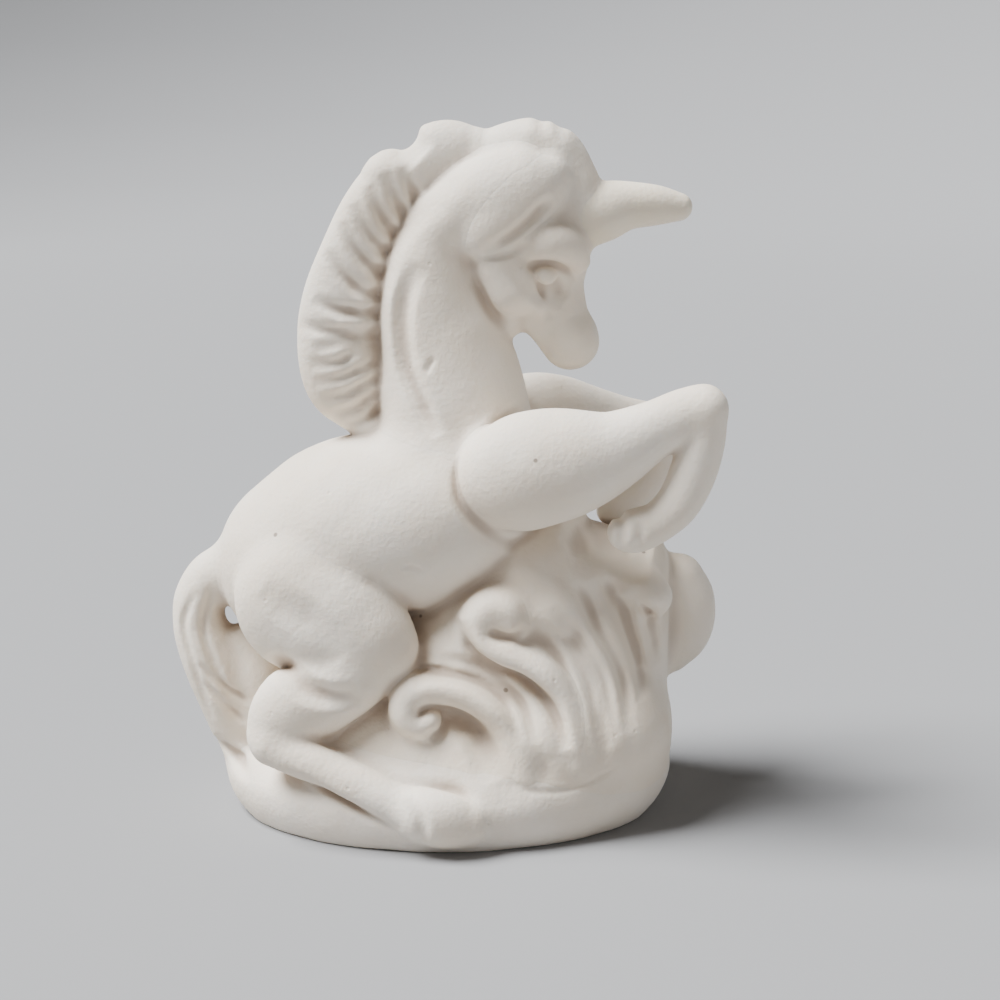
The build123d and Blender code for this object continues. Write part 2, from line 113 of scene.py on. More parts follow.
# %% [markdown]
# ## Clay as a field of distances
# On the real figure one lump of clay runs into the next without an edge. Polygon by polygon,
# such soft joints are hard to model, and strokes of a sculpting brush can't be written down
# well. A field of distances is closer to clay: each point of a fine grid holds how far it is
# from the skin, below zero inside, and two lumps join smoothly by a soft minimum of their
# fields. The skin is turned into faces only at the end.

# %% The grid that holds the clay
VOXEL = 0.25
MARGIN = 1.6  # the grid goes this far past the CAD box
grid_low = np.array(cad_low) / MM - MARGIN
grid_count = np.ceil((np.array(cad_high) / MM + MARGIN - grid_low) / VOXEL).astype(int) + 1
AXES = []
for start, count in zip(grid_low, grid_count):
    AXES.append((start + VOXEL * np.arange(count)).astype(np.float32))
print("clay grid:", [int(n) for n in grid_count])

# %% Blocks of the grid
# A casting fills a small part of the grid, so it is worked on in a block of its own.


def window(low, high):
    """The block of grid points between two corners."""
    block = []
    for axis, a, b in zip(AXES, low, high):
        first = int(np.clip(np.searchsorted(axis, a), 0, len(axis) - 2))
        last = int(np.clip(np.searchsorted(axis, b), first + 2, len(axis)))
        block.append(slice(first, last))
    return tuple(block)


def points_of(block):
    """The x, y and z of a block's points, each along its own axis of the array."""
    x, y, z = (axis[part] for axis, part in zip(AXES, block))
    return x[:, None, None], y[None, :, None], z[None, None, :]


def inside(block, outer):
    """A block's place in an array that covers the outer block."""
    return tuple(slice(b.start - o.start, b.stop - o.start) for b, o in zip(block, outer))


def overlap(block, other):
    """The block that two blocks have in common."""
    return tuple(slice(max(a.start, b.start), min(a.stop, b.stop)) for a, b in zip(block, other))


WHOLE_GRID = tuple(slice(0, int(count)) for count in grid_count)
print("the grid spans", [round(float(np.ptp(axis)), 1) for axis in points_of(WHOLE_GRID)], "mm")

# %% Clay that melts into clay


def melt(a, b, softness):
    """The soft minimum of two fields: clay joined to clay with a fillet."""
    if softness <= 0:
        return np.minimum(a, b)
    near = np.maximum(softness - np.abs(a - b), 0) / softness
    return np.minimum(a, b) - near * near * softness / 4


print("where two skins cross, a softness of 2 mm adds", -float(melt(0.0, 0.0, 2.0)), "mm of fillet")

# %% A smooth line through a few stations


def smooth_line(stations, steps=8):
    """More stations on a smooth curve through the ones given."""
    rows = np.array(stations, dtype=float)
    ends = np.vstack([2 * rows[0] - rows[1], rows, 2 * rows[-1] - rows[-2]])
    line = []
    for before, a, b, after in zip(ends, ends[1:], ends[2:], ends[3:]):
        for step in range(steps):
            u = step / steps
            bend = 2 * before - 5 * a + 4 * b - after
            twist = 3 * a - before - 3 * b + after
            line.append(0.5 * (2 * a + (b - before) * u + bend * u * u + twist * u ** 3))
    line.append(rows[-1])
    return np.array(line)


print("three stations become", len(smooth_line([(0, 0), (1, 1), (2, 0)])), "on a smooth line")

# %% A roll of clay along a line
PAD = 3.2  # a roll's field is worked out this far past its skin
FAR = 6.0  # what a field says where no clay is near
THINNEST = 0.25  # no roll gets thinner than this
TINY = 1e-6  # keeps a division from meeting zero
SPREAD = [3, 4, 3]  # where a station keeps its reach along x, half width along y and reach along z


def roll_of_clay(stations):
    """A roll along stations of (x, y, z, reach in the side view, half width across)."""
    line = smooth_line(stations)
    line[:, 3:] = np.maximum(line[:, 3:], THINNEST)
    spread = line[:, SPREAD] + PAD
    block = window((line[:, :3] - spread).min(0), (line[:, :3] + spread).max(0))
    field = np.full([part.stop - part.start for part in block], FAR, dtype=np.float32)
    for a, b in zip(line, line[1:]):
        reach_out = np.maximum(a[SPREAD], b[SPREAD]) + PAD
        local = window(np.minimum(a[:3], b[:3]) - reach_out, np.maximum(a[:3], b[:3]) + reach_out)
        local = overlap(local, block)
        x, y, z = points_of(local)
        run = b - a
        length = run[0] ** 2 + run[2] ** 2 + TINY
        t = np.clip(((x - a[0]) * run[0] + (z - a[2]) * run[2]) / length, 0, 1)
        off_line = (x - a[0] - t * run[0]) ** 2 + (z - a[2] - t * run[2]) ** 2
        reach = (a[3] + t * run[3]) ** 2
        half = (a[4] + t * run[4]) ** 2
        aside = (y - a[1] - t * run[1]) ** 2
        ring = np.sqrt(off_line / reach + aside / half)
        slope = np.sqrt(off_line / reach ** 2 + aside / half ** 2) + TINY
        place = inside(local, block)
        field[place] = np.minimum(field[place], ring * (ring - 1) / slope)
    return block, field


def mid(stations):
    """Stations of (x, z, reach, half width) on the figure's middle plane."""
    return [(x, 0.0, z, reach, half) for x, z, reach, half in stations]


def other_side(rolls):
    """The same rolls on the figure's other side."""
    return [[(x, -y, z, reach, half) for x, y, z, reach, half in roll] for roll in rolls]


def both_sides(rolls):
    """Rolls on the figure's right side, and the same ones on its left."""
    return rolls + other_side(rolls)


BALL_RADIUS = 6.0
_, ball_field = roll_of_clay(mid([(0.0, 30.0, BALL_RADIUS, BALL_RADIUS)] * 2))
ball_volume = float((ball_field < 0).sum()) * VOXEL ** 3
print("a ball of clay holds", round(ball_volume), "mm3; by its formula",
      round(4 / 3 * math.pi * BALL_RADIUS ** 3))

# %% A casting: rolls of clay joined, then worked with a tool
SIDE_BLEND = 2.0  # a stroke on the near side fades out over this width at the middle plane
UNREACHED = 1e6  # a squared distance that every point of a stroke comes below
TAPER_CURVE = 0.7  # below 1, a stroke keeps its depth further towards its ends


class Casting:
    """One casting of the figure, as a field over its own block of the grid.

    The fillet says how softly it melts into the other castings, and the blend how softly its own
    rolls melt into each other.
    """

    def __init__(self, node, slot, fillet, rolls, blend=1.0):
        self.node = node
        self.slot = slot
        self.fillet = fillet
        fields = [roll_of_clay(roll) for roll in rolls]
        starts = np.min([[part.start for part in block] for block, _ in fields], axis=0)
        stops = np.max([[part.stop for part in block] for block, _ in fields], axis=0)
        self.block = tuple(slice(int(a), int(b)) for a, b in zip(starts, stops))
        self.field = np.full(stops - starts, FAR, dtype=np.float32)
        for block, field in fields:
            place = inside(block, self.block)
            self.field[place] = melt(self.field[place], field, blend)

    def side_mask(self, near_only):
        """1 where the tool works and 0 on the far side, if that is left alone."""
        y = points_of(self.block)[1]
        if near_only:
            return np.clip(0.5 - y / SIDE_BLEND, 0, 1)
        return np.ones_like(y)

    def stroke(self, points, width, depth, near_only=False, taper=0.25):
        """A tool stroke along (x, z) points: a groove where depth is above 0, else a ridge."""
        line = smooth_line(points)
        x, _, z = points_of(self.block)
        x = x[:, 0, :]
        z = z[0, :, :]
        nearest = np.full((x.shape[0], z.shape[1]), UNREACHED)
        along = np.zeros_like(nearest)
        for index, (a, b) in enumerate(zip(line, line[1:])):
            run = b - a
            length = run @ run + TINY
            t = np.clip(((x - a[0]) * run[0] + (z - a[1]) * run[1]) / length, 0, 1)
            gap = (x - a[0] - t * run[0]) ** 2 + (z - a[1] - t * run[1]) ** 2
            closer = gap < nearest
            nearest = np.where(closer, gap, nearest)
            along = np.where(closer, (index + t) / (len(line) - 1), along)
        profile = np.maximum(1 - nearest / width ** 2, 0) ** 2
        fade = np.clip(np.minimum(along, 1 - along) / taper, 0, 1) ** TAPER_CURVE
        relief = (depth * (profile * fade)).astype(np.float32)
        self.field += relief[:, None, :] * self.side_mask(near_only).astype(np.float32)

    def strokes(self, lines, at_y, width, depth, near_only=False, taper=0.25):
        """Strokes given as places in the photograph, at one depth y."""
        for line in lines:
            places = [seen(column, row, at_y) for column, row in line]
            self.stroke(places, width, depth, near_only, taper)

    def dimple(self, centre, radius, depth, near_only=False):
        """A round press of the thumb at (x, z)."""
        x, _, z = points_of(self.block)
        gap = ((x - centre[0]) ** 2 + (z - centre[1]) ** 2) / radius ** 2
        relief = depth * np.maximum(1 - gap, 0) ** 2
        self.field += (relief * self.side_mask(near_only)).astype(np.float32)

    def shared(self, roll):
        """The place in this casting where a roll lies, and the roll's field there."""
        block, field = roll_of_clay(roll)
        common = overlap(block, self.block)
        return inside(common, self.block), field[inside(common, block)]

    def press(self, roll, softness):
        """Presses the form of a roll into the casting."""
        place, field = self.shared(roll)
        self.field[place] = -melt(-self.field[place], field, softness)

    def lay(self, roll, softness):
        """Lays a roll of clay onto the casting."""
        place, field = self.shared(roll)
        self.field[place] = melt(self.field[place], field, softness)


sample = Casting("sample", "body_bisque", 0.0, [mid([(-8.0, 30.0, 6.0, 6.0), (8.0, 30.0, 6.0, 6.0)])])
uncut = (sample.field < 0).sum()
sample.stroke([(-5.0, 33.0), (5.0, 33.0)], width=2.0, depth=1.0)
taken = float(uncut - (sample.field < 0).sum()) * VOXEL ** 3
print("one stroke takes", round(taken, 1), "mm3 from a sample roll")

# %% The bench that the castings are kept on
castings = {}


def keep(casting):
    """Puts a casting on the bench, and says so."""
    castings[casting.node] = casting
    print(casting.node, "clay", casting.field.shape)
    return casting


print("castings on the bench:", len(castings))

# %% [markdown]
# ## Plinth
# The foot is a pressed oval of clay with a swelling rim, drawn in a little where it meets the
# table. It could be a stack of rolls, but two ovals, one across the plan and one up the rim, say
# it better. Their formula is not a true distance, so it is divided by its own slope.

# %% Plinth
PLINTH_CENTRE_X = -0.6
PLINTH_HALF_LENGTH = 24.7
PLINTH_HALF_WIDTH = 17.8
RIM_HEIGHT = 4.0
RIM_RISE = 5.0
FOOT_DRAW = 8.0
FLATTEST = 0.03  # the least slope that the formula is divided by

# The roll only marks out the plinth's block. The oval then takes the place of its field.
plinth_roll = mid([(-10.0, 3.0, 14.0, 18.0), (10.0, 3.0, 14.0, 18.0)])
plinth = Casting("plinth", "plinth_bisque", 0.0, [plinth_roll])
px, py, pz = points_of(plinth.block)
plan = ((px - PLINTH_CENTRE_X) / PLINTH_HALF_LENGTH) ** 2 + (py / PLINTH_HALF_WIDTH) ** 2
rim = np.where(pz > RIM_HEIGHT, (pz - RIM_HEIGHT) / RIM_RISE, (pz - RIM_HEIGHT) / FOOT_DRAW)
oval = np.sqrt(plan ** 2 + rim ** 2) - 1
slope = np.sqrt(sum(part ** 2 for part in np.gradient(oval, VOXEL)))
plinth.field = (oval / np.maximum(slope, FLATTEST)).astype(np.float32)
keep(plinth)

# %% [markdown]
# ## Wave
# A mound of water with a plumb front carries the chest. It could be one swept outline, but a
# modeller builds such a mound up by hand, so it is laid from fat rolls: the crest in front with
# a small bump beside it, a skirt, a saddle and a belly roll behind it, a shelf for the curls, an
# apron at the near foot, and swells on the far flank and towards the hind leg. The fan of grooves
# is then drawn with a tool, each stroke along places in the photograph.

# %% Wave
crest = [(18.4, 3.2, 26.0, 6.0, 9.4), (16.2, 2.6, 20.5, 8.2, 11.6), (13.4, 1.8, 14.5, 10.8, 13.4),
         (12.8, 1.0, 9.0, 11.5, 14.8)]
skirt = [(9.0, 1.0, 18.0, 8.0, 11.4), (4.0, 0.8, 13.0, 9.2, 13.2), (3.4, 0.6, 9.0, 9.6, 14.2)]
shelf = [(-1.0, -6.5, 14.0, 4.6, 5.8), (2.0, -6.0, 18.6, 4.6, 5.4), (6.0, -5.4, 22.2, 4.8, 5.2),
         (11.0, -4.0, 23.4, 5.0, 6.2)]
under_belly = [(-7.0, 0.4, 11.0, 6.2, 10.6), (-3.0, 0.5, 16.0, 6.4, 10.4), (1.5, 0.6, 20.6, 6.6, 9.6)]
saddle = [(4.0, 0.5, 24.0, 6.6, 8.6), (8.5, 1.0, 27.4, 6.4, 9.4), (13.5, 2.0, 27.6, 6.0, 9.6)]
apron = [(5.5, -5.6, 9.0, 6.5, 9.2), (12.0, -5.6, 10.5, 8.0, 9.2), (18.0, -4.4, 10.0, 6.2, 8.4)]
second_bump = [(21.4, -5.4, 25.4, 2.3, 2.6), (21.7, -5.6, 25.0, 2.3, 2.6)]
far_swell = [(3.0, 4.4, 10.0, 8.0, 11.2), (7.0, 4.6, 18.0, 7.6, 10.6), (11.0, 4.8, 24.0, 6.2, 9.4),
             (15.5, 4.6, 27.4, 5.0, 8.4)]
foot_swell = [(-12.0, -7.4, 10.4, 2.8, 3.8), (-7.0, -8.4, 10.2, 3.6, 4.2), (-2.0, -9.0, 9.6, 3.8, 4.4),
              (3.0, -9.4, 8.6, 3.4, 4.4)]
wave_rolls = [crest, skirt, shelf, under_belly, saddle, apron, second_bump, far_swell, foot_swell]
wave = keep(Casting("wave", "wave_bisque", 3.0, wave_rolls, blend=2.0))

# %% Grooves of the wave
FAN_GROOVES = [
    [(525, 630), (545, 645), (562, 667), (577, 702), (587, 745)],
    [(534, 622), (566, 646), (587, 678), (598, 717), (605, 758)],
    [(552, 610), (584, 650), (605, 688), (612, 740)],
    [(578, 588), (598, 632), (622, 678), (627, 728)],
    [(604, 580), (622, 622), (640, 671), (645, 705)],
    [(626, 604), (634, 640), (646, 676)],
    [(648, 610), (656, 643), (662, 680)],
]
LOWER_HOLLOW = [(424, 730), (436, 720), (452, 715), (473, 725), (486, 744), (493, 770)]
RECESS = [(566, 562), (592, 551), (625, 553), (656, 566)]
FOOT_DIMPLES = [[(545, 750), (544, 765), (546, 782)], [(574, 752), (574, 768), (577, 784)]]
SEAM_LINE = [(507, 779), (538, 790), (574, 790), (601, 781), (623, 770)]
BUMP_CREASE = [(636, 588), (641, 604), (652, 613), (666, 610)]
wave.strokes(FAN_GROOVES, at_y=-11.0, width=1.25, depth=0.6)
wave.strokes([BUMP_CREASE], at_y=-8.0, width=1.1, depth=0.6, near_only=True, taper=0.4)
wave.strokes([LOWER_HOLLOW], at_y=-12.0, width=2.4, depth=1.4, near_only=True)
wave.strokes([RECESS], at_y=-8.0, width=3.4, depth=2.0)
wave.strokes(FOOT_DIMPLES, at_y=-14.0, width=1.5, depth=0.25, near_only=True, taper=0.5)
for worked in (plinth, wave):
    worked.strokes([SEAM_LINE], at_y=-15.0, width=0.5, depth=0.15, near_only=True)
print(len(FAN_GROOVES), "grooves in the wave's fan")

# %% [markdown]
# ## Knob and curls
# Spray stands off the wave as a round knob in front and two rolled strands on the near flank. A
# curve with a bevel could draw a strand, but it has the same thickness up and across. A roll of
# clay has its own for each, so a strand can lie low on the wave and stand up at its curl.

# %% Wave knob and curls
keep(Casting("wave_knob", "wave_bisque", 1.6, [
    [(24.8, 4.6, 16.0, 2.6, 3.0), (26.0, 4.8, 18.6, 3.6, 3.8), (26.2, 4.8, 21.6, 3.6, 3.8),
     (25.6, 4.6, 24.2, 3.0, 3.2)]]))
lower_curl = keep(Casting("lower_curl", "wave_bisque", 1.2, [
    [(-2.0, -12.2, 13.2, 1.2, 1.7), (-3.4, -12.2, 12.7, 1.4, 1.9), (-4.6, -12.0, 13.8, 1.7, 2.1),
     (-4.1, -11.4, 15.6, 1.9, 2.4), (-2.0, -11.2, 16.6, 1.9, 2.6), (1.2, -11.4, 16.2, 1.8, 2.6),
     (4.4, -12.0, 14.6, 1.8, 2.5), (6.6, -12.4, 12.4, 1.7, 2.3), (7.7, -12.9, 10.0, 1.5, 2.1),
     (7.9, -13.4, 7.8, 1.2, 1.8)]]))
upper_curl = keep(Casting("upper_curl", "wave_bisque", 1.3, [
    [(4.6, -9.6, 23.4, 2.3, 2.3), (5.8, -9.7, 23.1, 2.2, 2.1)],
    [(6.8, -10.0, 23.0, 1.5, 1.8), (6.1, -9.8, 24.5, 1.7, 2.2), (4.2, -9.6, 24.8, 1.9, 2.4),
     (2.9, -9.8, 23.3, 1.9, 2.6), (3.6, -10.4, 21.4, 1.7, 2.5), (6.2, -10.8, 20.0, 1.7, 2.6),
     (9.6, -11.0, 18.2, 1.8, 2.7), (12.0, -11.4, 15.5, 1.7, 2.5), (13.2, -12.2, 12.0, 1.6, 2.3),
     (13.5, -13.0, 8.8, 1.2, 1.8)]]))

# %% Lines along the curls
STRAND_EDGE = [(462, 622), (473, 652), (496, 670), (521, 677), (543, 694), (557, 715), (566, 740)]
STRAND_LINE = [(436, 664), (462, 664), (488, 676), (510, 692), (526, 708), (536, 734)]
STRAND_FOOT = [(412, 682), (428, 676), (450, 676), (473, 682), (494, 694), (511, 711), (521, 736)]
for worked in (wave, upper_curl, lower_curl):
    worked.strokes([STRAND_EDGE], at_y=-12.0, width=1.3, depth=0.8, near_only=True, taper=0.15)
    worked.strokes([STRAND_LINE], at_y=-12.0, width=1.0, depth=0.6, near_only=True)
    worked.strokes([STRAND_FOOT], at_y=-12.5, width=0.9, depth=0.6, near_only=True)
CURL_CREASE = [(486, 630), (501, 637), (515, 636), (527, 629)]
upper_curl.strokes([CURL_CREASE], at_y=-12.0, width=0.9, depth=0.6)
print("strand lines drawn over wave, upper_curl and lower_curl")

# %% [markdown]
# ## Trunk and legs
# The barrel is a fat hollow casting, and the four legs are stuck to it. Boxes with a smooth
# subdivision would do for a leg, but where it meets the barrel their loops of edges don't fit.
# So the barrel is one roll from the rump to the chest, and each leg is a chain of rolls, thick
# at the thigh or shoulder and thin at the cannon, with the hoof as a short swelling at its end.

# %% Trunk
trunk = keep(Casting("trunk", "body_bisque", 0.8, [mid([
    (-15.5, 27.6, 10.2, 10.4), (-11.2, 30.2, 10.8, 11.4), (-5.6, 31.8, 10.7, 11.6),
    (-0.7, 33.4, 9.9, 11.0), (3.6, 36.0, 7.4, 9.2)])]))
FLANK_CREASE = [(-9.3, 28.2), (-7.8, 25.4), (-5.1, 23.3), (-2.5, 22.2)]
FLANK_SCRATCH = [(-5.1, 29.5), (-3.8, 29.7), (-2.5, 29.0)]
trunk.stroke(FLANK_CREASE, width=1.8, depth=0.8)
trunk.stroke(FLANK_SCRATCH, width=0.5, depth=0.15, near_only=True)

# %% Hind legs
thigh = [(-15.0, -7.6, 25.0, 8.0, 5.4), (-12.5, -8.4, 23.4, 7.4, 5.4), (-9.2, -9.4, 21.8, 5.4, 4.6),
         (-7.2, -9.8, 20.8, 3.9, 3.6)]
gaskin = [(-7.4, -9.8, 19.6, 3.6, 3.2), (-11.2, -10.6, 17.2, 4.2, 3.6),
          (-16.0, -11.4, 14.4, 4.5, 3.4), (-18.6, -11.8, 11.8, 2.9, 2.5),
          (-18.9, -11.8, 11.0, 2.4, 2.2)]
hind_cannon = [(-18.6, -12.6, 10.6, 2.3, 2.2), (-12.6, -14.6, 8.2, 2.2, 2.2),
               (-7.4, -15.9, 6.0, 2.1, 2.1), (-5.4, -16.3, 5.1, 1.9, 1.9)]
hind_hoof = [(-5.0, -16.4, 5.0, 1.8, 1.9), (-2.8, -17.0, 4.4, 2.8, 2.5), (-0.6, -17.0, 3.9, 3.0, 2.6),
             (1.6, -16.6, 3.4, 2.5, 2.2)]
hind_rolls = [thigh, gaskin, hind_cannon, hind_hoof]
right_hind = keep(Casting("right_hind_leg", "body_bisque", 0.9, hind_rolls))
left_hind = keep(Casting("left_hind_leg", "body_bisque", 0.9, other_side(hind_rolls)))
THIGH_HOLLOW = [(262, 590), (284, 605), (307, 619), (326, 638), (342, 660)]
HOCK_CREASE = [(272, 652), (292, 672), (315, 686), (340, 691), (362, 687)]
HOOF_CREASE = [(408, 798), (420, 812), (424, 828), (418, 844)]
for leg in (right_hind, left_hind):
    leg.strokes([THIGH_HOLLOW], at_y=-13.0, width=2.6, depth=0.8, taper=0.6)
    leg.strokes([HOCK_CREASE], at_y=-12.0, width=1.8, depth=1.1, taper=0.4)
    leg.strokes([HOOF_CREASE], at_y=-18.0, width=1.1, depth=0.45, taper=0.4)

# %% Where the hind legs lie on the plinth
# Soft clay gives way under a leg and is filled up behind it, so the plinth gets a bed for each
# leg and a ledge behind each bed. A bed stops short of the toe, so that no ridge stands up there.
BED_MARGIN = 0.5
BED_RISE = 0.8
beds = []
for lying in (hind_cannon, hind_hoof[:-1]):
    beds.append([(x, y, z + BED_RISE, reach + BED_MARGIN, half + BED_MARGIN)
                 for x, y, z, reach, half in lying])
for bed in both_sides(beds):
    plinth.press(bed, softness=1.2)
ledge = [(-15.0, -9.4, 9.4, 2.0, 3.8), (-11.0, -11.0, 7.6, 2.3, 3.8), (-6.0, -12.0, 5.8, 2.4, 3.6),
         (-1.0, -12.6, 4.6, 2.2, 3.2), (3.0, -12.6, 4.2, 2.0, 3.0)]
for fill in both_sides([ledge]):
    plinth.lay(fill, softness=2.5)
UNDER_CANNON = [(280, 772), (308, 784), (340, 798), (372, 812), (402, 824)]
for worked in (plinth, right_hind, left_hind):
    worked.strokes([UNDER_CANNON], at_y=-16.0, width=1.1, depth=0.5, taper=0.4)
print("plinth pressed in for both hind legs and filled behind them")

# %% Forelegs
right_forearm = [(6.6, -8.8, 38.8, 5.6, 4.2), (8.6, -9.8, 39.6, 6.2, 4.6),
                 (12.6, -10.8, 40.7, 5.6, 4.2), (16.7, -11.4, 41.9, 4.2, 3.4),
                 (20.8, -11.6, 44.0, 3.1, 2.8), (24.6, -11.6, 45.8, 2.75, 2.6),
                 (26.2, -11.6, 46.4, 2.4, 2.4)]
right_cannon = [(26.4, -11.6, 46.4, 2.4, 2.4), (26.2, -11.6, 43.2, 2.4, 2.4),
                (25.3, -11.6, 39.8, 2.45, 2.4), (23.9, -11.6, 36.7, 2.35, 2.4),
                (21.8, -11.6, 34.6, 2.15, 2.2), (19.4, -11.6, 33.6, 2.3, 2.3),
                (18.4, -11.6, 33.4, 1.9, 2.0)]
right_fore = keep(Casting("right_foreleg", "body_bisque", 0.7, [right_forearm, right_cannon], blend=0.8))
FORE_HOOF_CREASES = [[(617, 508), (622, 526), (620, 548)], [(638, 520), (640, 536), (634, 552)]]
right_fore.strokes(FORE_HOOF_CREASES, at_y=-13.0, width=0.8, depth=0.35)
left_forearm = [(6.6, 7.4, 41.0, 5.2, 3.9), (9.6, 8.4, 42.0, 5.4, 4.0), (14.5, 9.6, 41.6, 4.3, 3.3),
                (19.0, 10.4, 41.2, 3.2, 2.8), (22.8, 10.8, 40.8, 2.7, 2.5)]
left_cannon = [(23.6, 10.8, 40.2, 2.4, 2.3), (23.8, 10.8, 37.4, 2.4, 2.3),
               (23.0, 10.8, 34.8, 2.3, 2.3), (21.4, 10.8, 32.8, 2.15, 2.2),
               (19.4, 10.8, 31.4, 2.2, 2.2), (18.4, 10.8, 30.9, 1.8, 1.9)]
keep(Casting("left_foreleg", "body_bisque", 0.7, [left_forearm, left_cannon], blend=0.8))

# %% [markdown]
# ## Neck and head
# The neck is a column that arches over the chest, and the head hangs from its top. A face could
# be pushed out of one smooth ball. A modeller of small figures presses balls and little rolls
# of clay on instead, for cheek, brow, eye and muzzle, and draws the lids and folds with a tool.
# The same is done here, on both sides at once.

# %% Neck
neck = keep(Casting("neck", "body_bisque", 2.6, [mid([
    (1.2, 35.5, 8.1, 7.6), (0.6, 43.3, 8.2, 7.2), (-0.6, 51.0, 7.2, 6.0), (-1.8, 57.5, 5.9, 5.2),
    (-1.0, 62.8, 4.8, 4.7), (2.2, 67.0, 4.5, 4.4), (5.4, 68.6, 4.2, 4.0)])]))
poll_swell = [(0.8, -2.2, 65.4, 2.6, 3.0), (4.0, -2.9, 68.4, 2.8, 3.1), (7.4, -2.9, 70.4, 2.3, 2.5)]
for swell in both_sides([poll_swell]):
    neck.lay(swell, softness=2.5)
SHOULDER_CREASE = [(8.5, 46.0), (4.4, 43.4), (2.0, 40.6), (1.2, 38.2), (2.0, 35.4), (5.4, 31.8),
                   (9.0, 30.6)]
NECK_GROOVE = [(-3.1, 60.7), (-4.7, 56.5), (-4.5, 50.3), (-2.6, 45.6), (-1.2, 42.8)]
NECK_NICK = [(-1.5, 50.9), (-2.0, 50.2), (-2.4, 49.2)]
for worked in (trunk, neck):
    worked.stroke(SHOULDER_CREASE, width=1.2, depth=0.55)
neck.stroke(NECK_GROOVE, width=1.5, depth=0.8)
neck.stroke(NECK_NICK, width=0.5, depth=0.3, near_only=True)

# %% Head
skull = mid([(9.4, 68.4, 4.8, 4.0), (9.8, 63.5, 5.5, 4.6), (9.5, 58.6, 4.9, 4.0),
             (11.2, 55.0, 3.6, 3.2), (12.8, 52.0, 2.9, 2.7)])
forehead = mid([(11.4, 70.6, 3.2, 3.2), (13.0, 68.0, 3.2, 3.4), (12.9, 64.4, 3.0, 3.2)])
jowl = [(5.6, -2.7, 60.2, 3.2, 2.8), (6.8, -2.9, 58.2, 3.0, 2.5)]
throat = [(3.2, -2.6, 63.6, 2.2, 2.6), (5.8, -2.9, 62.4, 2.4, 2.6)]
gullet = mid([(5.2, 58.0, 2.4, 3.2), (6.1, 55.4, 2.0, 2.8), (6.7, 53.7, 1.1, 1.8)])
brow = [(8.4, -3.9, 62.2, 1.2, 1.3), (10.6, -4.3, 62.9, 2.0, 1.9), (12.6, -3.9, 62.2, 1.7, 1.6),
        (13.8, -2.9, 60.8, 1.1, 1.0)]
cheek_folds = [(6.6, -4.0, 60.2, 0.9, 0.9), (8.4, -4.1, 58.4, 1.0, 0.9), (9.8, -3.6, 56.4, 0.8, 0.7)]
eyeball = [(10.0, -4.0, 59.5, 1.0, 1.0), (10.4, -4.0, 59.4, 1.0, 1.0)]
muzzle = mid([(13.0, 52.4, 2.9, 3.0), (13.2, 51.9, 2.8, 2.9)])
face = [jowl, throat, brow, cheek_folds]
head_rolls = [skull, forehead, muzzle, gullet] + both_sides(face)
head = keep(Casting("head", "body_bisque", 1.2, head_rolls))

# %% Eyes and folds of the face
FACE_Y = -4.5
EYE_PLACE = (548, 286)
head.dimple(seen(*EYE_PLACE, FACE_Y), radius=2.8, depth=0.55)
for ball in both_sides([eyeball]):
    head.lay(ball, softness=0.5)
LID_LINE = [(526, 270), (537, 264), (552, 263), (566, 271), (575, 282)]
EYE_TROUGH = [(561, 277), (560, 293), (552, 310)]
CHEEK_CREASES = [
    [(506, 262), (523, 284), (537, 304)],
    [(526, 264), (534, 284), (546, 308), (554, 322)],
]
head.strokes([LID_LINE], at_y=FACE_Y, width=0.75, depth=0.4)
head.strokes([EYE_TROUGH], at_y=FACE_Y, width=1.2, depth=0.3, taper=0.5)
head.strokes(CHEEK_CREASES, at_y=FACE_Y, width=1.0, depth=0.36, taper=0.4)
JOWL_EDGE = [(478, 256), (480, 284), (491, 312), (508, 330)]
for worked in (head, neck):
    worked.strokes([JOWL_EDGE], at_y=FACE_Y, width=1.1, depth=0.25)
EAR_CREASE = [(553, 198), (541, 206), (528, 219), (513, 232), (498, 242), (482, 250)]
head.strokes([EAR_CREASE], at_y=-5.0, width=1.0, depth=0.75)
UNDER_EAR = [(472, 250), (490, 254), (507, 250), (522, 242)]
for worked in (head, neck):
    worked.strokes([UNDER_EAR], at_y=-5.0, width=1.1, depth=0.6, taper=0.4)
print("face drawn with", len(CHEEK_CREASES), "cheek folds on each side")

# %% [markdown]
# ## Ears, horn and forelock
# The ears lie back along the head like two leaves, the horn is a stout blunt cone, and a small
# tuft of hair sits on the poll. A ready-made cone and ball could be placed there. As rolls they
# take a fillet like all the rest, so they look pressed on.

# %% Ears, horn and forelock
ear = [[(10.6, -3.4, 69.6, 1.7, 1.6), (9.0, -4.2, 68.4, 2.7, 2.0), (6.8, -4.6, 66.6, 3.1, 2.1),
        (4.9, -4.6, 64.6, 2.4, 1.9), (3.6, -4.5, 63.2, 1.3, 1.3)]]
right_ear = keep(Casting("right_ear", "body_bisque", 1.9, ear))
left_ear = keep(Casting("left_ear", "body_bisque", 1.9, other_side(ear)))
for one_ear in (right_ear, left_ear):
    one_ear.strokes([EAR_CREASE], at_y=-5.5, width=0.9, depth=0.6)
keep(Casting("horn", "horn_bisque", 0.7, [mid([
    (14.6, 65.4, 3.4, 3.4), (16.3, 65.8, 3.2, 3.2), (18.7, 66.4, 2.6, 2.6), (21.8, 66.5, 2.15, 2.15),
    (24.4, 66.3, 1.5, 1.5)])]))
forelock = keep(Casting("forelock", "hair_bisque", 1.6, [mid([
    (3.8, 72.6, 1.6, 2.0), (6.2, 73.3, 1.8, 2.6), (9.0, 73.7, 1.9, 2.9), (11.2, 72.8, 2.0, 2.7),
    (12.4, 71.4, 1.8, 2.2)])]))
TUFT_NICKS = [[(537, 108), (541, 122), (543, 138)], [(555, 112), (560, 126), (561, 142)]]
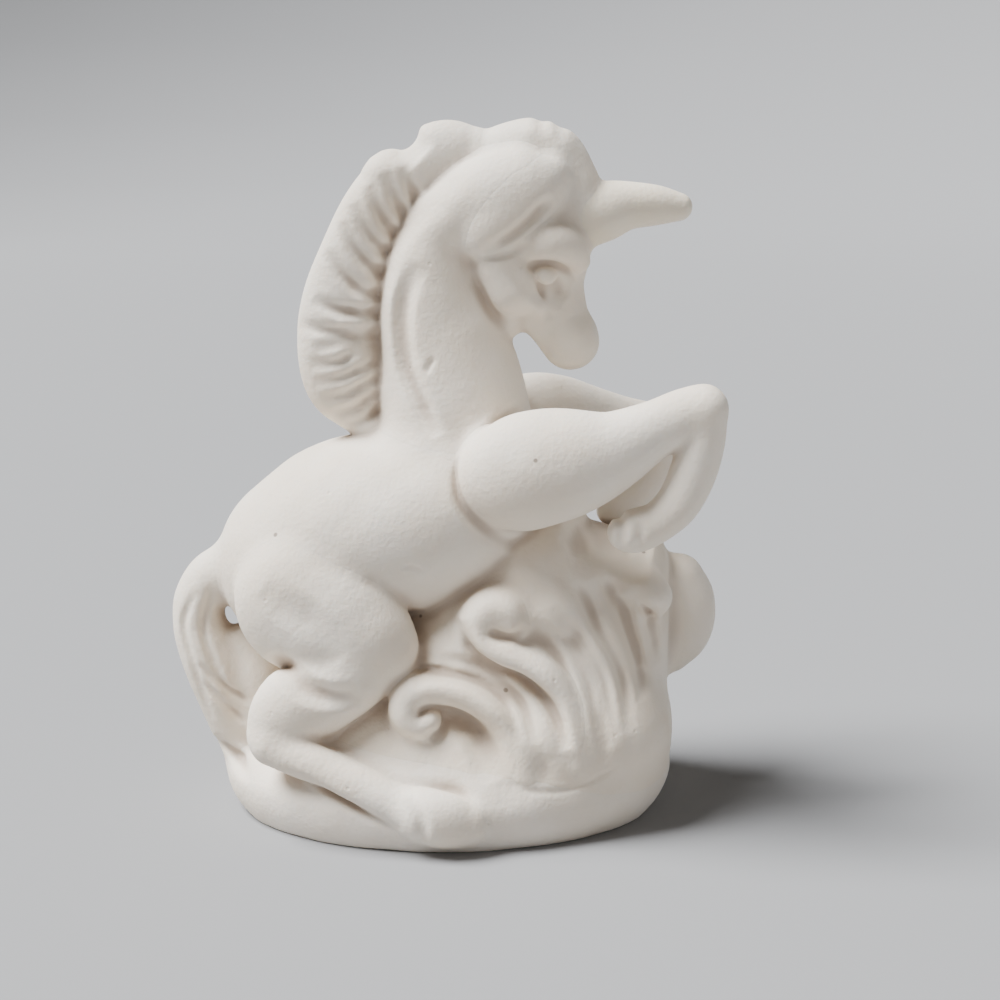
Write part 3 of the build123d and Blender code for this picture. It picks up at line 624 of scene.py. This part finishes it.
forelock.strokes(TUFT_NICKS, at_y=0.0, width=1.1, depth=0.28, taper=0.5)

# %% [markdown]
# ## Mane and tail
# The mane is one thick comb of hair down the back of the neck, and the tail falls from the rump
# to the plinth, with a web of clay towards the thigh. Strands of hair could be modelled one by
# one, but on the real figure they are only grooves in a slab. So each slab is a roll, and each
# lock is a stroke that is deepest in its middle and fades towards both ends.

# %% Mane
mane = keep(Casting("mane", "hair_bisque", 0.8, [mid([
    (-8.6, 42.6, 1.8, 1.8), (-9.6, 44.0, 2.4, 2.0), (-10.6, 45.8, 3.4, 2.3), (-11.3, 48.2, 4.7, 2.9),
    (-11.6, 52.0, 4.9, 3.0), (-11.2, 56.4, 4.6, 3.0), (-9.6, 61.8, 4.0, 2.8), (-7.6, 66.0, 3.75, 2.7),
    (-4.7, 69.2, 3.75, 2.7), (-0.8, 71.6, 3.7, 2.7), (2.2, 72.3, 2.5, 2.2)])]))

# %% Locks of the mane
MANE_Y = -3.0
LOW_LOCKS = [
    [(298, 326), (326, 331), (360, 333), (392, 334)],
    [(312, 350), (341, 343), (366, 342), (394, 342)],
    [(308, 366), (338, 363), (356, 354), (392, 352)],
    [(312, 384), (342, 378), (366, 367), (394, 360)],
    [(320, 400), (347, 394), (369, 383), (394, 374)],
    [(330, 414), (355, 408), (372, 397), (394, 388)],
    [(344, 427), (364, 420), (378, 411), (396, 402)],
]
HIGH_LOCKS = [
    [(312, 300), (336, 309), (362, 313), (394, 316)],
    [(326, 252), (344, 276), (364, 293), (392, 298)],
    [(340, 222), (356, 250), (376, 272), (402, 284)],
    [(352, 204), (366, 230), (382, 250), (406, 264)],
    [(368, 186), (378, 210), (391, 232), (412, 250)],
    [(386, 172), (395, 198), (405, 218), (424, 238)],
    [(402, 166), (411, 190), (421, 210), (438, 226)],
]
VALLEY = [(440, 200), (410, 222), (388, 252), (377, 290), (373, 330), (374, 365), (377, 390)]
RIM_NOTCH = [(396, 132), (408, 144), (422, 158)]
RIM_BUMP = [(360, 172), (373, 163), (388, 158)]
TOP_PITS = [(430, 192), (442, 185), (463, 165)]
mane.strokes(LOW_LOCKS, at_y=MANE_Y, width=1.15, depth=0.85, taper=0.6)
mane.strokes(HIGH_LOCKS, at_y=MANE_Y, width=1.2, depth=1.0, taper=0.6)
mane.strokes([RIM_NOTCH], at_y=0.0, width=2.6, depth=1.5, taper=0.5)
mane.strokes([RIM_BUMP], at_y=0.0, width=2.6, depth=-0.4, taper=0.5)
for worked in (mane, neck):
    worked.strokes([VALLEY], at_y=-3.5, width=1.7, depth=0.35)
for column, row in TOP_PITS:
    mane.dimple(seen(column, row, MANE_Y), radius=0.7, depth=0.5, near_only=True)
print(len(LOW_LOCKS) + len(HIGH_LOCKS), "locks combed into the mane")

# %% Tail
tail_lock = mid([
    (-22.6, 27.4, 2.6, 2.6), (-26.0, 26.0, 2.9, 3.0), (-27.9, 23.4, 2.8, 3.2), (-28.1, 20.6, 2.9, 3.4),
    (-27.2, 17.6, 3.3, 3.8), (-25.9, 14.6, 3.6, 4.0), (-24.9, 11.2, 3.3, 3.8), (-23.9, 7.6, 2.7, 3.2),
    (-22.6, 4.6, 2.0, 2.2)])
tail_web = mid([
    (-23.8, 18.6, 1.6, 2.0), (-22.8, 16.8, 2.6, 2.6), (-22.0, 14.0, 3.6, 3.4), (-21.6, 10.0, 3.8, 3.8)])
tail = keep(Casting("tail", "hair_bisque", 1.8, [tail_lock, tail_web]))
TAIL_STRANDS = [
    [(200, 662), (225, 684), (252, 702)],
    [(204, 680), (224, 700), (248, 722)],
    [(196, 590), (184, 625), (196, 668), (214, 720)],
    [(212, 585), (203, 625), (214, 660), (236, 705)],
]
tail.strokes(TAIL_STRANDS, at_y=-3.0, width=0.7, depth=0.4)
TAIL_TIP = [(214, 738), (228, 749), (242, 756), (258, 758)]
for worked in (tail, plinth):
    worked.strokes([TAIL_TIP], at_y=-3.0, width=1.1, depth=0.6)

# %% [markdown]
# ## Luting the castings together
# On the bench the castings are stuck to each other with liquid clay, and a damp sponge rounds
# the joints. A boolean union would leave a hard line at each joint. Here all fields melt into
# one skin, each with its own fillet, so that the joints run softly from piece to piece. A slow
# ripple over the whole skin stands for the maker's hand.

# %% One skin over all castings
skin = np.full(grid_count, FAR, dtype=np.float32)
nearest = np.full(grid_count, FAR, dtype=np.float32)
runner_up = np.full(grid_count, FAR, dtype=np.float32)
for casting in castings.values():
    skin[casting.block] = melt(skin[casting.block], casting.field, casting.fillet)
    best = nearest[casting.block]
    runner_up[casting.block] = np.minimum(runner_up[casting.block], np.maximum(best, casting.field))
    nearest[casting.block] = np.minimum(best, casting.field)
print("luted", len(castings), "castings")

# %% The maker's hand, the drain hole and the flat foot
HAND_WAVES = ((0.9, 1.1, 0.8, 0.05), (0.43, 0.5, 0.39, 0.08))
HAND_PHASE = (1.3, 0.4, 2.1)
gx, gy, gz = points_of(WHOLE_GRID)
for wx, wy, wz, height in HAND_WAVES:
    ripple = height * np.sin(wx * gx + HAND_PHASE[0])
    skin += ripple * np.sin(wy * gy + HAND_PHASE[1]) * np.sin(wz * gz + HAND_PHASE[2])

DRAIN_RADIUS = 4.0
DRAIN_DEPTH = 5.0
DRAIN_PLACE = (9.0, 0.6)
off_drain = np.sqrt((gx - DRAIN_PLACE[0]) ** 2 + (gy - DRAIN_PLACE[1]) ** 2)
drain = np.maximum(off_drain - DRAIN_RADIUS, gz - DRAIN_DEPTH)
skin = np.maximum(skin, -drain)
skin = np.maximum(skin, -gz).astype(np.float32)
print("skin holds", round(float((skin < 0).sum()) * VOXEL ** 3 / 1000, 1), "cm3")

# %% [markdown]
# ## Painted shade in the hollows
# Grooves and the deep places between pieces are painted a darker warm colour, as painted shade
# for the dark that gathers there. That could be painted on by hand. The clay knows where they are
# already: in a hollow the field is above the mean of its surroundings. A narrow look finds the
# tool's grooves and a wide one the deep places between pieces, and each point of a mesh later
# keeps the answer as an attribute.

# %% Where the skin is hollow
# How hollow the skin is; the finish paints shade into the hollows from this measure
NEAR_SKIN = 3.0
FINE_REACH = 0.9
FINE_FULL = 0.22
BROAD_REACH = 2.2
BROAD_FULL = 0.80
FINE_WEIGHT = 0.5
BROAD_WEIGHT = 0.7
HOLLOW_ENOUGH = 0.3  # above this the print below counts a point as hollow


def blurred(field, cells):
    """The mean of a field over a small box round each point."""
    for axis in range(3):
        edge = [(0, 0)] * 3
        edge[axis] = (cells + 1, cells)
        total = np.cumsum(np.pad(field, edge, mode="edge"), axis=axis, dtype=np.float64)
        span = 2 * cells + 1
        upper = np.take(total, np.arange(span, total.shape[axis]), axis=axis)
        lower = np.take(total, np.arange(0, total.shape[axis] - span), axis=axis)
        field = ((upper - lower) / span).astype(np.float32)
    return field


clipped = np.clip(skin, -NEAR_SKIN, NEAR_SKIN)
fine = (clipped - blurred(clipped, max(1, round(FINE_REACH / VOXEL)))) / FINE_FULL
broad = (clipped - blurred(clipped, max(1, round(BROAD_REACH / VOXEL)))) / BROAD_FULL
hollow = np.clip(FINE_WEIGHT * fine + BROAD_WEIGHT * broad, -1, 1)
print("hollow skin found on", round(float((hollow > HOLLOW_ENOUGH).mean()) * 100, 1), "% of the grid")

# %% Reading a field between its points
LAST_CELL = 1.001  # keeps the upper neighbour of every place on the grid


def read_between(field, places):
    """A grid field's values at places between its points."""
    spot = np.clip((places - grid_low) / VOXEL, 0, grid_count - LAST_CELL)
    base = spot.astype(int)
    share = spot - base
    total = np.zeros(len(places))
    for corner in np.ndindex(2, 2, 2):
        weight = np.prod(np.where(corner, share, 1 - share), axis=1)
        total += weight * field[tuple((base + corner).T)]
    return total.astype(np.float32)


plinth_top = np.array([(0.0, 0.0, RIM_HEIGHT + RIM_RISE)])
print("the middle of the plinth's top lies", round(-float(read_between(skin, plinth_top)[0]), 1),
      "mm under the skin")

# %% [markdown]
# ## Cutting the skin into its castings
# The figure is an assembly, so each casting is cut from the skin again. Flat cuts would be the
# simple way, but they would show as straight seams. Instead each point belongs to the casting
# whose own clay is nearest. A piece also keeps a small tongue under its neighbours, sunk a
# little, so that no gap shows and no two faces lie in one plane.

# %% Only the largest shell


def largest_shell(points, quads):
    """Drops stray crumbs: only the largest connected shell stays."""
    label = np.arange(len(points))
    while True:
        low = label[quads].min(axis=1)
        fresh = label.copy()
        np.minimum.at(fresh, quads.ravel(), np.repeat(low, 4))
        fresh = fresh[fresh]
        if np.array_equal(fresh, label):
            break
        label = fresh
    names, sizes = np.unique(label[quads[:, 0]], return_counts=True)
    quads = quads[label[quads[:, 0]] == names[np.argmax(sizes)]]
    used, place = np.unique(quads, return_inverse=True)
    return points[used], place.reshape(quads.shape)


two_shells = np.array([(0, 1, 2, 3), (2, 3, 4, 5), (6, 7, 8, 9)])
print("of two shells the one with", len(largest_shell(np.zeros((10, 3)), two_shells)[1]), "faces stays")

# %% Cut the skin and make the meshes
TONGUE = 0.6
SINK = 0.35
OUTSIDE = 1.0  # what a casting's grid says beyond its block


def cast(casting):
    """Turns one casting's share of the skin into a mesh object in metres."""
    field = casting.field
    others = np.where(nearest[casting.block] < field, nearest[casting.block], runner_up[casting.block])
    past = (field - others) / 2
    share = np.maximum(skin[casting.block] + SINK * np.maximum(past, 0), past - TONGUE)
    share = np.pad(share, 1, constant_values=OUTSIDE).astype(np.float32)
    grid = openvdb.FloatGrid(OUTSIDE)
    grid.copyFromArray(share)
    points, quads = grid.convertToQuads(0.0)
    points, quads = largest_shell(points, quads.astype(np.int64))
    corner = np.array([axis[part.start] for axis, part in zip(AXES, casting.block)])
    places = ((points - 1) * VOXEL + corner) * MM
    # Faces that look inwards give a volume below zero, and are turned round.
    a, b, c, d = (places[quads[:, i]] for i in range(4))
    volume = np.einsum("ij,ij->i", a, np.cross(b, c) + np.cross(c, d)).sum() / 6
    if volume < 0:
        quads = quads[:, ::-1]
    mesh = bpy.data.meshes.new(casting.node)
    mesh.from_pydata(places, [], quads.tolist())
    mesh.shade_smooth()
    # Each point keeps how hollow it lies, and the finish paints shade there
    depth = mesh.attributes.new("hollow", "FLOAT", "POINT")
    depth.data.foreach_set("value", read_between(hollow, places / MM))
    piece = bpy.data.objects.new(casting.node + "_bisque", mesh)
    bpy.context.scene.collection.objects.link(piece)
    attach(piece, "root")
    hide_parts(casting.node)
    print(casting.node, len(quads), "faces,", round(abs(volume) / MM ** 3), "mm3")
    return piece


pieces = {name: cast(casting) for name, casting in castings.items()}

# %% [markdown]
# ## Bisque
# Unglazed porcelain is a warm white with a dry, fine grain. It is mottled where the kiln was
# hotter, and it has pinholes and a few dark specks. Its hollows are painted darker as painted
# shade. A picture could be wrapped round it, but a cast surface has no seams to lay one on. So all
# of it comes from nodes on object coordinates and from the hollows that were measured.

# %% Shader maths in Python
# A Mix node has its sockets once for each kind of value, so those for colours go by number.
MIX_FACTOR = 0
MIX_FIRST = 6
MIX_SECOND = 7
MIX_RESULT = 2


class Flow:
    """A socket of a node tree that can be added, multiplied and mixed as a number."""

    def __init__(self, tree, socket=None):
        self.tree = tree
        self.socket = socket

    def node(self, kind, settings, sockets, output=0):
        """A new node: its settings first, then the values or links of its sockets."""
        made = self.tree.nodes.new(kind)
        for name, value in settings.items():
            setattr(made, name, value)
        for name, value in sockets.items():
            if isinstance(value, Flow):
                self.tree.links.new(value.socket, made.inputs[name])
            else:
                made.inputs[name].default_value = value
        return Flow(self.tree, made.outputs[output])

    def maths(self, operation, a, b):
        """A Math node on two values or links."""
        return self.node("ShaderNodeMath", {"operation": operation}, {0: a, 1: b})

    def __add__(self, other):
        return self.maths("ADD", self, other)

    def __radd__(self, other):
        return self.maths("ADD", other, self)

    def __sub__(self, other):
        return self.maths("SUBTRACT", self, other)

    def __rsub__(self, other):
        return self.maths("SUBTRACT", other, self)

    def __mul__(self, other):
        return self.maths("MULTIPLY", self, other)

    def __rmul__(self, other):
        return self.maths("MULTIPLY", other, self)

    def between(self, low, high):
        """0 below low and 1 above high, with a soft step between."""
        return self.node("ShaderNodeMapRange", {"interpolation_type": "SMOOTHSTEP"},
                         {"Value": self, "From Min": low, "From Max": high})

    def tint(self, a, b):
        """Colour a where this is 0 and colour b where it is 1."""
        colours = {MIX_FACTOR: self, MIX_FIRST: a, MIX_SECOND: b}
        return self.node("ShaderNodeMix", {"data_type": "RGBA"}, colours, MIX_RESULT)


print("shader maths ready:", [name for name in vars(Flow) if name.endswith(("add__", "sub__", "mul__"))])

# %% The bisque finish
# Painted shade: a darker warm brown that the hollows are tinted with, where shade gathers in grooves and
# between pieces
PAINTED_GROOVE_SHADE = (0.47, 0.37, 0.29, 1.0)
SPECK_BROWN = (0.16, 0.12, 0.09, 1.0)
PAINTED_SHADE_STRENGTH = 0.75
SPECK_STRENGTH = 0.75
# Scales of the patterns, in cells to the metre
MOTTLE_SCALE = 90.0
SPOT_SCALE = 330.0
LUMP_SCALE = 380.0
GRAIN_SCALE = 1900.0
# Where each soft step starts and ends
MOTTLE_EDGE = (0.35, 0.68)
SPECK_EDGE = (0.06, 0.11)
PIT_EDGE = (0.02, 0.09)
PITS_LEFT_OUT = 0.30
CHOICE_EDGE = 0.01
# How much each pattern adds to the roughness and to the bump's height
ROUGH_LEAST = 0.58
ROUGH_GRAIN = 0.14
ROUGH_MOTTLE = 0.08
GRAIN_HEIGHT = 0.9
PIT_DEPTH = 0.6
LUMP_HEIGHT = 1.5
BUMP_STRENGTH = 0.55
BUMP_DISTANCE = 0.00014
# Light goes a little way into porcelain, and its dry skin hardly shines
SAME_ALL_OVER = {
    "Subsurface Weight": 0.2,
    "Subsurface Radius": (1.0, 0.75, 0.55),
    "Subsurface Scale": 0.0005,
    "Specular IOR Level": 0.35,
}


def bisque(name, pale, deep, specks_shown):
    """An unglazed porcelain finish between two whites, with pinholes, kiln specks and painted shade in
    the hollows.
    """
    material = bpy.data.materials.new(name)
    material.use_nodes = True
    tree = material.node_tree
    shader = tree.nodes["Principled BSDF"]
    make = Flow(tree).node
    place = make("ShaderNodeTexCoord", {}, {}, "Object")

    def noise(scale, detail):
        """Noise on object coordinates."""
        return make("ShaderNodeTexNoise", {}, {"Vector": place, "Scale": scale, "Detail": detail}, "Fac")

    mottle = noise(MOTTLE_SCALE, detail=3.0).between(*MOTTLE_EDGE)
    grain = noise(GRAIN_SCALE, detail=4.0)
    cells = {"Vector": place, "Scale": SPOT_SCALE}
    spot_distance = make("ShaderNodeTexVoronoi", {}, cells, "Distance")
    spot_choice = make("ShaderNodeSeparateColor", {},
                       {0: make("ShaderNodeTexVoronoi", {}, cells, "Color")}, 0)
    chosen = spot_choice.between(1.0 - specks_shown, 1.0 - specks_shown + CHOICE_EDGE)
    pitted = spot_choice.between(PITS_LEFT_OUT, PITS_LEFT_OUT + CHOICE_EDGE) * (1 - chosen)
    specks = (1 - spot_distance.between(*SPECK_EDGE)) * chosen
    pits = (1 - spot_distance.between(*PIT_EDGE)) * pitted
    colour = mottle.tint(pale, deep)
    # Painted shade: the more hollow a point lies, the more its colour is turned to the darker warm brown
    hollow_depth = make("ShaderNodeAttribute", {"attribute_name": "hollow"}, {}, "Fac")
    colour = (hollow_depth.between(0.0, 1.0) * PAINTED_SHADE_STRENGTH).tint(colour, PAINTED_GROOVE_SHADE)
    colour = (specks * SPECK_STRENGTH).tint(colour, SPECK_BROWN)
    tree.links.new(colour.socket, shader.inputs["Base Color"])
    rough = ROUGH_LEAST + ROUGH_GRAIN * grain + ROUGH_MOTTLE * mottle
    tree.links.new(rough.socket, shader.inputs["Roughness"])
    lumps = noise(LUMP_SCALE, detail=3.0)
    height = grain * GRAIN_HEIGHT - pits * PIT_DEPTH + lumps * LUMP_HEIGHT
    relief = {"Height": height, "Strength": BUMP_STRENGTH, "Distance": BUMP_DISTANCE}
    bump = make("ShaderNodeBump", {}, relief)
    tree.links.new(bump.socket, shader.inputs["Normal"])
    for socket, value in SAME_ALL_OVER.items():
        shader.inputs[socket].default_value = value
    return material


PATTERN_SCALES = (MOTTLE_SCALE, SPOT_SCALE, LUMP_SCALE, GRAIN_SCALE)
print("patterns of the bisque in mm across:", [round(1 / MM / scale, 1) for scale in PATTERN_SCALES])

# %% One finish for each slot
# Each has a pale and a deep white, and the share of spots that show as kiln specks.
FINISHES = {
    "body_bisque": ((0.89, 0.81, 0.70, 1), (0.84, 0.74, 0.61, 1), 0.030),
    "hair_bisque": ((0.88, 0.80, 0.69, 1), (0.83, 0.73, 0.60, 1), 0.030),
    "horn_bisque": ((0.89, 0.81, 0.68, 1), (0.84, 0.74, 0.58, 1), 0.020),
    "wave_bisque": ((0.88, 0.79, 0.67, 1), (0.83, 0.72, 0.58, 1), 0.040),
    "plinth_bisque": ((0.88, 0.80, 0.70, 1), (0.82, 0.73, 0.61, 1), 0.050),
}
finish_of = {}
for slot, (pale, deep, specks_shown) in FINISHES.items():
    finish_of[slot] = bisque(slot, pale, deep, specks_shown)
for name, piece in pieces.items():
    piece.data.materials.append(finish_of[castings[name].slot])
print("finishes:", sorted(finish_of))

# %% [markdown]
# ## Floor and light
# The figure stands on a plain pale floor. A flat plane would end in a hard horizon, so the floor
# is a wide dish that curves up all round. The photograph's shadows say that its light is soft
# and comes from high on the left. A soft window could be an area lamp, but a wide sun gives the
# same soft edge at any distance. A dim warm room keeps the undersides from going black.

# %% Floor that curves up into a low wall all round
FLOOR_RADIUS = 0.8
WALL_BEND = 0.4
WALL_TOP = 0.55
HUB_RADIUS = 0.15
SIDES = 72
BEND_STEPS = 8
FLOOR_GREY = (0.29, 0.29, 0.295, 1)
FLOOR_ROUGHNESS = 0.85
profile = [(HUB_RADIUS, 0.0), (FLOOR_RADIUS, 0.0)]
for step in range(1, BEND_STEPS + 1):
    turn = step / BEND_STEPS * math.pi / 2
    profile.append((FLOOR_RADIUS + WALL_BEND * math.sin(turn), WALL_BEND * (1 - math.cos(turn))))
profile.append((FLOOR_RADIUS + WALL_BEND, WALL_TOP))
corners = [(0.0, 0.0, 0.0)]
for radius, height in profile:
    for side in range(SIDES):
        angle = 2 * math.pi * side / SIDES
        corners.append((radius * math.cos(angle), radius * math.sin(angle), height))
faces = []
for side in range(SIDES):
    after = (side + 1) % SIDES
    faces.append((0, 1 + side, 1 + after))
    for ring in range(len(profile) - 1):
        low = 1 + ring * SIDES
        high = low + SIDES
        faces.append((low + side, high + side, high + after, low + after))
floor_mesh = bpy.data.meshes.new("floor")
floor_mesh.from_pydata(corners, [], faces)
floor_mesh.shade_smooth()
floor = bpy.data.objects.new("floor", floor_mesh)
floor_finish = bpy.data.materials.new("pale_floor")
floor_finish.use_nodes = True
floor_shader = floor_finish.node_tree.nodes["Principled BSDF"]
floor_shader.inputs["Base Color"].default_value = FLOOR_GREY
floor_shader.inputs["Roughness"].default_value = FLOOR_ROUGHNESS
floor_mesh.materials.append(floor_finish)
bpy.context.scene.collection.objects.link(floor)
floor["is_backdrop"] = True
print("floor of", len(faces), "faces")

# %% Sun and room
SUN_FROM = (-0.62, -0.06, 0.95)
SUN_STRENGTH = 10.5
SUN_SOFTNESS = math.radians(32.0)
SUN_COLOUR = (0.97, 0.985, 1.0)
ROOM_COLOUR = (1.0, 0.95, 0.90, 1)
ROOM_STRENGTH = 0.10
sun_data = bpy.data.lights.new("soft_key", "SUN")
sun_data.energy = SUN_STRENGTH
sun_data.angle = SUN_SOFTNESS
sun_data.color = SUN_COLOUR
sun = bpy.data.objects.new("soft_key", sun_data)
sun.rotation_euler = (math.atan2(math.hypot(SUN_FROM[0], SUN_FROM[1]), SUN_FROM[2]), 0.0,
                      math.atan2(SUN_FROM[0], -SUN_FROM[1]))
bpy.context.scene.collection.objects.link(sun)
world = bpy.data.worlds.new("soft_room")
world.use_nodes = True
background = world.node_tree.nodes["Background"]
background.inputs["Color"].default_value = ROOM_COLOUR
background.inputs["Strength"].default_value = ROOM_STRENGTH
bpy.context.scene.world = world
print("sun of", SUN_STRENGTH, "from", SUN_FROM, "in a room of", ROOM_STRENGTH)

# %% [markdown]
# ## Sizes
# The dressed figure has to fill the same box as the CAD model that it stands for. Only the CAD
# box is measured, at the start, and this last step only brings the scene up to date.

# %% The scene brought up to date, and the end
bpy.context.view_layer.update()
